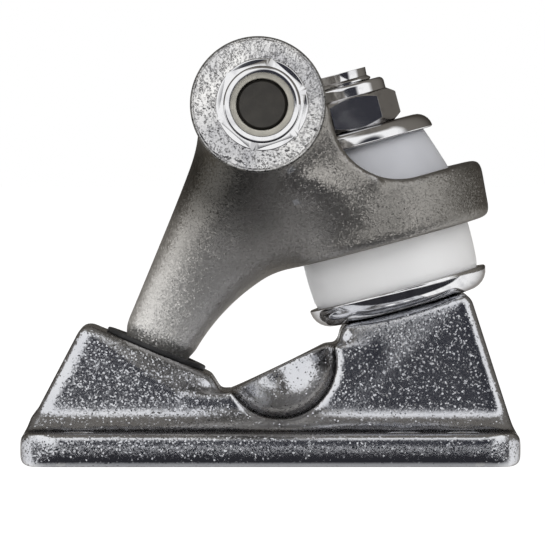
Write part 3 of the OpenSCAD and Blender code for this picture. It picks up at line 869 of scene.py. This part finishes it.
class TRUCK_OT_stage(bpy.types.Operator):
    """Build the floor, the studio light and the camera"""

    bl_idname = "truck.stage"
    bl_label = "Stage"
    paper_tones = ((0.9, 0.9, 0.9, 1.0), (0.87, 0.87, 0.87, 1.0))
    # Tone of the painted dark reflection in the floor
    card_tone = (0.03, 0.03, 0.035, 1.0)
    oval_tone = (0.035, 0.036, 0.045, 1.0)
    back_tone = (0.17, 0.158, 0.142, 1.0)
    lamp_size = 0.4

    def execute(self, context):
        scene = context.scene
        scene.view_settings.view_transform = "Standard"
        self.add_floor()
        self.light_world(scene)
        self.add_lamps(scene)
        self.add_camera(scene)
        return {"FINISHED"}

    def add_floor(self):
        """Pale paper, near white to the camera, with a painted dark reflection: a band in front that
        only the metals mirror.
        """
        bm = bmesh.new()
        bmesh.ops.create_grid(bm, x_segments=1, y_segments=1, size=4.0)
        floor = loose_object(bm, "floor")
        finish, tree, shader = new_finish("floor_paper")
        marks = group_node(tree, fine_marks, {"Mark Scale": 40.0, "Cloud Scale": 6.0})
        tone = mixed(tree, marks["Cloud"], *self.paper_tones)
        feed(tree, shader, {"Base Color": tone, "Roughness": 0.8})
        paper = shader.outputs[0]
        glow = add_node(tree, "ShaderNodeEmission", {"Color": WHITE, "Strength": 1.4}).outputs[0]
        ahead = parts_of(tree, object_spot(tree))["Y"]
        # Painted dark reflection: from 26 to about 130 mm in front, the metals mirror the floor dark
        near = ranged(tree, ahead, -29 * MM, -26 * MM)
        far = ranged(tree, ahead, -105 * MM, -130 * MM)
        painted_reflection = mixed(tree, value_of(tree, near, far, "MAXIMUM"), self.card_tone, WHITE)
        mirrored = add_node(tree, "ShaderNodeEmission", {"Color": painted_reflection}).outputs[0]
        path = add_node(tree, "ShaderNodeLightPath").outputs
        bounced = value_of(tree, path["Is Glossy Ray"], path["Is Transmission Ray"], "MAXIMUM")
        surface = self.mixed_shader(tree, 0.65, paper, glow)
        surface = self.mixed_shader(tree, path["Is Camera Ray"], paper, surface)
        surface = self.mixed_shader(tree, bounced, surface, mirrored)
        tree.links.new(surface, tree.nodes["Material Output"].inputs["Surface"])
        floor.data.materials.append(finish)

    def mixed_shader(self, tree, share, first, second):
        """A shader between two shaders."""
        return add_node(tree, "ShaderNodeMixShader", {0: share, 1: first, 2: second}).outputs[0]

    def light_world(self, scene):
        """Bright screens at both sides, a dark oval behind the camera, dull above and at the back."""
        world = bpy.data.worlds.new("studio")
        world.use_nodes = True
        scene.world = world
        tree = world.node_tree
        look = add_node(tree, "ShaderNodeTexCoord").outputs["Generated"]
        way = parts_of(tree, look)
        turn = math.radians(13)
        half_wide, half_tall, middle = 0.36, 0.62, 0.1
        across = along_of(tree, look, (math.cos(turn) / half_wide, math.sin(turn) / half_wide, 0.0))
        rise = value_of(tree, value_of(tree, way["Z"], middle, "SUBTRACT"), half_tall, "DIVIDE")
        oval = add_node(tree, "ShaderNodeCombineXYZ", {0: across, 1: rise}).outputs[0]
        screen = ranged(tree, length_of(tree, oval), 0.8, 1.2)
        aside = along_of(tree, look, (0.35, 1.0, 0.0))
        dull = ranged(tree, way["Z"], 0.88, 0.97)
        for back in (ranged(tree, aside, 0.0, 0.25), ranged(tree, way["Y"], 0.05, 0.25)):
            dull = value_of(tree, back, dull, "MAXIMUM")
        tone = mixed(tree, screen, self.oval_tone, WHITE)
        tone = mixed(tree, dull, tone, self.back_tone)
        camera = add_node(tree, "ShaderNodeLightPath").outputs["Is Camera Ray"]
        tone = mixed(tree, camera, tone, WHITE)
        tree.links.new(tone, tree.nodes["Background"].inputs["Color"])

    def add_lamps(self, scene):
        """Three soft lamps, which the metals don't mirror."""
        lamps = (
            ("softbox_left", (-0.6, -0.3, 0.4), 1.0),
            ("softbox_right", (0.6, -0.25, 0.35), 0.8),
            ("softbox_front", (0.0, -0.6, 0.5), 1.0),
        )
        for name, place, watts in lamps:
            lamp = bpy.data.lights.new(name, "AREA")
            lamp.shape = "SQUARE"
            lamp.size = self.lamp_size
            lamp.energy = watts
            holder = self.aimed(scene, lamp, Vector(place), Vector((0, 0, 35 * MM)))
            holder.visible_glossy = False

    def add_camera(self, scene):
        """A long lens that looks along the axle from a little above."""
        camera = bpy.data.cameras.new("camera")
        camera.sensor_width = 36.0
        camera.lens = 512.5
        camera.clip_start = 0.05
        camera.clip_end = 50.0
        place = Vector((-2.55 * MM, -1.3, 60.4 * MM))
        target = Vector((0.33 * MM, -28 * MM, 32.0 * MM))
        scene.camera = self.aimed(scene, camera, place, target)

    def aimed(self, scene, data, place, target):
        """An object for a lamp or camera that stands at a place and looks at a target."""
        holder = bpy.data.objects.new(data.name, data)
        holder.location = place
        holder.rotation_euler = (target - place).to_track_quat("-Z", "Y").to_euler()
        scene.collection.objects.link(holder)
        return holder


class TRUCK_OT_baseplate(bpy.types.Operator):
    """Build the cast baseplate"""

    bl_idname = "truck.baseplate"
    bl_label = "Baseplate"
    bolt_rows = (-31.75 * MM, 22.23 * MM, 31.75 * MM)
    bolt_side = 20.64 * MM
    bolt_clear = 4 * MM
    half_web = 9 * MM

    def execute(self, context):
        sizes = context.scene.truck_sizes
        bm = casting("baseplate", sizes.base_voxel)
        filleted(bm, sizes.base_fill, self.weight)
        smoothed(bm, sizes.base_passes)
        add_piece(
            bm,
            "baseplate_cast",
            "base_casting",
            ["baseplate"],
            "base",
            crease=CAST_CREASE,
        )
        return {"FINISHED"}

    def weight(self, co):
        """Full at the blocks' flanks, none in the middle and at the deck bolts' holes."""
        flank = (abs(co.y) - self.half_web) / (3 * MM)
        hole = min(math.hypot(co.x - x, abs(co.y) - self.bolt_side) for x in self.bolt_rows)
        return max(0.0, min(1.0, flank, (hole - self.bolt_clear) / MM))


class TRUCK_OT_hanger(bpy.types.Operator):
    """Build the cast hanger and its faced ends"""

    bl_idname = "truck.hanger"
    bl_label = "Hanger"
    hollow_radius = 16.5 * MM
    nub_top = 22 * MM
    set_back = 0.5 * MM

    def execute(self, context):
        sizes = context.scene.truck_sizes
        bm = casting("hanger", sizes.hanger_voxel)
        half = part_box("hanger")[1].y

        def weight(co):
            """Full round the arm and the yoke, none at the ends, the nub and the kingpin's hollow."""
            ends = (half - abs(co.y)) / (12 * MM) - 0.3
            offset = co - KINGPIN_SEAT
            distance = (offset - KINGPIN_UP * offset.dot(KINGPIN_UP)).length
            hollow = (distance - self.hollow_radius) / (2.5 * MM)
            nub = (co.z - self.nub_top) / (4 * MM)
            return max(0.0, min(1.0, ends, hollow, nub))

        filleted(bm, sizes.hanger_fill, weight)
        smoothed(bm, sizes.hanger_passes)
        # The casting ends a little short of the end faces
        end = half - self.set_back
        for vertex in bm.verts:
            vertex.co.y = max(-end, min(end, vertex.co.y))
        add_piece(
            bm,
            "hanger_cast",
            "hanger_casting",
            ["hanger"],
            "hanger",
            crease=CAST_CREASE,
        )
        self.add_end_faces(half)
        return {"FINISHED"}

    def add_end_faces(self, half):
        """The faced ends of the axle tube, each with a fine groove inside its edge."""
        bore = 4.8 * MM
        foot = half - 1.4 * MM
        shoulder = half - 0.12 * MM
        groove = shoulder - 0.18 * MM
        outline = [
            (bore, foot, 0),
            (END_RIM, foot, 0),
            (END_RIM, shoulder, 0.22 * MM),
            (END_RIM - END_LAND, shoulder, 0),
            (END_RIM - 0.5 * MM, groove, 0),
            (END_RIM - 0.65 * MM, half, 0.05 * MM),
            (bore, half, 0),
        ]
        for end in ENDS:
            add_piece(
                turned(outline, steps=128),
                "hanger_end_" + end,
                "hanger_end_face",
                [],
                "hanger",
                line_frame(TUBE_MIDDLE, AXLE_END[end][1]),
            )


class TRUCK_OT_pivot_cup(bpy.types.Operator):
    """Build the pivot cup"""

    bl_idname = "truck.pivot_cup"
    bl_label = "Pivot Cup"

    def execute(self, context):
        up = Vector((math.sin(PIVOT_LEAN), 0, math.cos(PIVOT_LEAN)))
        low, high, rim = reach("pivot_cup", PIVOT_BALL, up)
        flange = high - 0.8 * MM
        body = 7.8 * MM
        seat = 4.66 * MM
        mouth = rim - 1.7 * MM
        outline = [
            (0, low, 0),
            (body, low, 0.5 * MM),
            (body, flange, 0),
            (rim, flange, 0.2 * MM),
            (rim, high, 0.25 * MM),
            (mouth, high, 0.2 * MM),
            (seat, 0, 0),
        ]
        steps = 8
        for step in range(1, steps):
            angle = step / steps * math.pi / 2
            outline.append((seat * math.cos(angle), -seat * math.sin(angle), 0))
        outline.append((0, -seat, 0))
        add_piece(
            turned(outline),
            "pivot_cup_liner",
            "black_urethane",
            ["pivot_cup"],
            "base",
            line_frame(PIVOT_BALL, up),
        )
        return {"FINISHED"}


class TRUCK_OT_kingpin(bpy.types.Operator):
    """Build the kingpin with its head and thread"""

    bl_idname = "truck.kingpin"
    bl_label = "Kingpin"

    def execute(self, context):
        sizes = context.scene.truck_sizes
        low, high, corner = reach("kingpin", KINGPIN_SEAT, KINGPIN_UP)
        head_top = low + 6 * MM
        foot = low + 1 * MM
        thread_low = high - THREAD_LENGTH
        outline = [(0, foot, 0), (KINGPIN_RADIUS, foot, 0), (KINGPIN_RADIUS, thread_low, 0)]
        outline += thread(
            KINGPIN_RADIUS, thread_low, high - TIP_BEVEL, sizes.thread_pitch, sizes.thread_depth
        )
        outline += [(KINGPIN_RADIUS - TIP_BEVEL, high, TIP_EDGE), (0, high, 0)]
        head = eased(hexagon(corner * math.sqrt(3), low, head_top, 0), 3 * sizes.edge_round)
        add_piece(
            combined(turned(outline, steps=64), head, "UNION"),
            "kingpin_bolt",
            "bright_plating",
            ["kingpin"],
            "base",
            KINGPIN_FRAME,
        )
        return {"FINISHED"}


class TRUCK_OT_bushings(bpy.types.Operator):
    """Build both bushings"""

    bl_idname = "truck.bushings"
    bl_label = "Bushings"

    def execute(self, context):
        bulge = context.scene.truck_sizes.bushing_bulge
        bore = KINGPIN_RADIUS + LOOSE_FIT
        bore_edge = 0.4 * MM
        edge = 0.8 * MM
        barrel = ((12.72, 0.0), (14.0, 2.87), (14.0, 13.4))
        # The cone leaves room in its washer for one turn of the nut
        cone = ((13.6, 0.0), (13.5, 3.4), (10.95, 11.12))
        for node, finish, flank, swelling, bodies in (
            ("bottom_bushing", "milky_urethane", barrel, bulge, ("base", "hanger")),
            ("top_bushing", "smoky_shaded_urethane", cone, bulge / 5, ("hanger", "base")),
        ):
            low, high, _ = reach(node, KINGPIN_SEAT, KINGPIN_UP)
            foot, waist, top = [(radius * MM, low + tall * MM) for radius, tall in flank]
            outline = [
                (bore, low, bore_edge),
                (*foot, edge),
                (*waist, edge),
                *swell(waist, top, swelling),
                (*top, edge),
                (bore, top[1], bore_edge),
            ]
            piece = add_piece(
                turned(outline, segments=6),
                node + "_urethane",
                finish,
                [node],
                place=KINGPIN_FRAME,
                crease=50,
            )
            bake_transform(piece)
        return {"FINISHED"}


class TRUCK_OT_cup_washers(bpy.types.Operator):
    """Build the two dished washers"""

    bl_idname = "truck.cup_washers"
    bl_label = "Cup Washers"

    def execute(self, context):
        sheet = 1.2 * MM
        bore = KINGPIN_RADIUS + LOOSE_FIT
        bore_edge = 0.2 * MM
        flare = math.radians(6)
        wall = sheet / math.cos(flare)
        for node, body, upwards in (
            ("bottom_washer", "base", True),
            ("top_washer", "top_washer", False),
        ):
            low, high, rim = reach(node, KINGPIN_SEAT, KINGPIN_UP)
            floor, way = (low, 1) if upwards else (high, -1)
            tall = high - low
            bend = 0.85 * tall
            foot = rim - tall * math.tan(flare)
            inner = foot + sheet * math.tan(flare) - wall
            outline = [
                (bore, floor, bore_edge),
                (foot, floor, bend),
                (rim, floor + way * tall, sheet * 0.3),
                (rim - wall, floor + way * tall, sheet * 0.2),
                (inner, floor + way * sheet, bend * 0.45),
                (bore, floor + way * sheet, bore_edge),
            ]
            add_piece(
                turned(outline, steps=128, segments=6),
                node + "_plated",
                "bright_plating",
                [node],
                body,
                KINGPIN_FRAME,
            )
        return {"FINISHED"}


def lock_nut(flats, tall, hex_tall, bore, turn, edge):
    """A lock nut about Z, its foot at 0: bevelled hexagon, rolled collar and a clear bore."""
    corner = flats / math.sqrt(3)
    collar = flats / 2 - COLLAR_STEP
    lip = (bore + collar) / 2
    bevel = flats / 14
    shape = turned(
        [
            (0, 0, 0),
            (collar, 0, 0),
            (corner, bevel, 0),
            (corner, hex_tall - bevel, 0),
            (collar, hex_tall, 0),
            (0, hex_tall, 0),
        ]
    )
    bm = combined(hexagon(flats, -OVERSHOOT, hex_tall + OVERSHOOT, turn), shape, "INTERSECT")
    bm = eased(bm, edge)
    rolled = turned(
        [
            (0, hex_tall / 2, 0),
            (collar, hex_tall / 2, 0),
            (collar, tall, (tall - hex_tall) * 0.4),
            (0, tall, 0),
        ],
        segments=6,
    )
    bm = combined(bm, rolled, "UNION")
    hole = turned(
        [
            (0, -OVERSHOOT, 0),
            (bore, -OVERSHOOT, 0),
            (bore, hex_tall, 0),
            (lip, hex_tall, 0),
            (lip, tall + OVERSHOOT, 0),
            (0, tall + OVERSHOOT, 0),
        ]
    )
    return combined(bm, hole, "DIFFERENCE")


def lock_ring(low, high, inner, outer):
    """The nylon ring of a lock nut."""
    return turned(
        [
            (inner, low, 0),
            (outer, low, 0),
            (outer, high, 0.1 * MM),
            (inner, high, 0.25 * MM),
        ]
    )


def add_lock_nut(nut, insert, line, flats, bore, turn, edge):
    """A lock nut and its nylon ring in the place of their nodes."""
    at, along = line
    low, high, _ = reach(nut, at, along)
    ring_low, ring_high, _ = reach(insert, at, along)
    foot = line_frame(at + along * low, along)
    clear = bore + NUT_CLEAR
    bm = lock_nut(flats, high - low, ring_low - low, clear, turn, edge)
    piece = add_piece(bm, nut + "_plated", "bright_plating", [nut], nut, foot)
    # The wide faces set the normals, so that they reflect as flats
    piece.modifiers.new("flat_faces", "WEIGHTED_NORMAL").keep_sharp = True
    collar = flats / 2 - COLLAR_STEP
    outer = (bore + collar) / 2 - RING_CLEAR
    ring = lock_ring(ring_low - low, ring_high - low, clear, outer)
    add_piece(ring, insert + "_ring", "insert_nylon", [insert], nut, foot)


class TRUCK_OT_kingpin_nut(bpy.types.Operator):
    """Build the kingpin's lock nut"""

    bl_idname = "truck.kingpin_nut"
    bl_label = "Kingpin Nut"

    def execute(self, context):
        add_lock_nut(
            "kingpin_nut",
            "kingpin_nut_insert",
            (KINGPIN_SEAT, KINGPIN_UP),
            KINGPIN_NUT_FLATS,
            KINGPIN_RADIUS,
            KINGPIN_NUT_TURN,
            context.scene.truck_sizes.edge_round,
        )
        return {"FINISHED"}


class TRUCK_OT_axle(bpy.types.Operator):
    """Build the axle with its threaded ends"""

    bl_idname = "truck.axle"
    bl_label = "Axle"

    def execute(self, context):
        sizes = context.scene.truck_sizes
        along = Vector((0, 1, 0))
        low, high, radius = reach("axle", AXLE_MIDDLE, along)
        top = high - TIP_BEVEL
        upper = thread(radius, top - THREAD_LENGTH, top, sizes.thread_pitch, sizes.thread_depth)
        outline = [(0, low, 0), (radius - TIP_BEVEL, low, TIP_EDGE)]
        outline += [(r, -h, 0) for r, h, _ in reversed(upper)]
        outline += upper
        outline += [(radius - TIP_BEVEL, high, TIP_EDGE), (0, high, 0)]
        add_piece(
            turned(outline, steps=64),
            "axle_rod",
            "dark_steel",
            ["axle"],
            "hanger",
            line_frame(AXLE_MIDDLE, along),
        )
        return {"FINISHED"}


class TRUCK_OT_speed_washers(bpy.types.Operator):
    """Build the four speed washers on the axle"""

    bl_idname = "truck.speed_washers"
    bl_label = "Speed Washers"

    def execute(self, context):
        # A hair's clearance at each face, so that no face lies in a neighbour's
        clear = 0.02 * MM
        for end in ENDS:
            at, along = AXLE_END[end]
            for place in ("inner", "outer"):
                node = f"axle_washer_{place}_{end}"
                low, high, rim = reach(node, at, along)
                low += clear
                high -= clear
                bore = least_radius(node, at, along)
                edge = 0.28 * (high - low)
                corners = ((bore, low), (rim, low), (rim, high), (bore, high))
                outline = [(radius, height, edge) for radius, height in corners]
                add_piece(
                    turned(outline),
                    node + "_plated",
                    "bright_plating",
                    [node],
                    node,
                    line_frame(at, along),
                )
        return {"FINISHED"}


class TRUCK_OT_axle_nuts(bpy.types.Operator):
    """Build the axle's two lock nuts"""

    bl_idname = "truck.axle_nuts"
    bl_label = "Axle Nuts"

    def execute(self, context):
        for end in ENDS:
            add_lock_nut(
                "axle_nut_" + end,
                "axle_nut_insert_" + end,
                AXLE_END[end],
                AXLE_NUT_FLATS,
                AXLE_RADIUS,
                AXLE_NUT_TURN,
                2 * context.scene.truck_sizes.edge_round,
            )
        return {"FINISHED"}


OPERATORS = (
    TRUCK_OT_stage,
    TRUCK_OT_baseplate,
    TRUCK_OT_hanger,
    TRUCK_OT_pivot_cup,
    TRUCK_OT_kingpin,
    TRUCK_OT_bushings,
    TRUCK_OT_cup_washers,
    TRUCK_OT_kingpin_nut,
    TRUCK_OT_axle,
    TRUCK_OT_speed_washers,
    TRUCK_OT_axle_nuts,
)


class TRUCK_PT_pieces(bpy.types.Panel):
    """The truck's pieces, sizes and colours"""

    bl_idname = "TRUCK_PT_pieces"
    bl_label = "Truck"
    bl_space_type = "VIEW_3D"
    bl_region_type = "UI"
    bl_category = "Truck"

    def draw(self, context):
        for operator in OPERATORS:
            self.layout.operator(operator.bl_idname)
        for group in (context.scene.truck_sizes, context.scene.truck_colours):
            for name in group.__annotations__:
                self.layout.prop(group, name)


CLASSES = (TruckSizes, TruckColours, *OPERATORS, TRUCK_PT_pieces)


def register():
    for item in CLASSES:
        bpy.utils.register_class(item)
    bpy.types.Scene.truck_sizes = PointerProperty(type=TruckSizes)
    bpy.types.Scene.truck_colours = PointerProperty(type=TruckColours)


def unregister():
    del bpy.types.Scene.truck_colours
    del bpy.types.Scene.truck_sizes
    for item in reversed(CLASSES):
        bpy.utils.unregister_class(item)


def main():
    register()
    for operator in OPERATORS:
        family, name = operator.bl_idname.split(".")
        getattr(getattr(bpy.ops, family), name)()


if __name__ == "__main__":
    main()
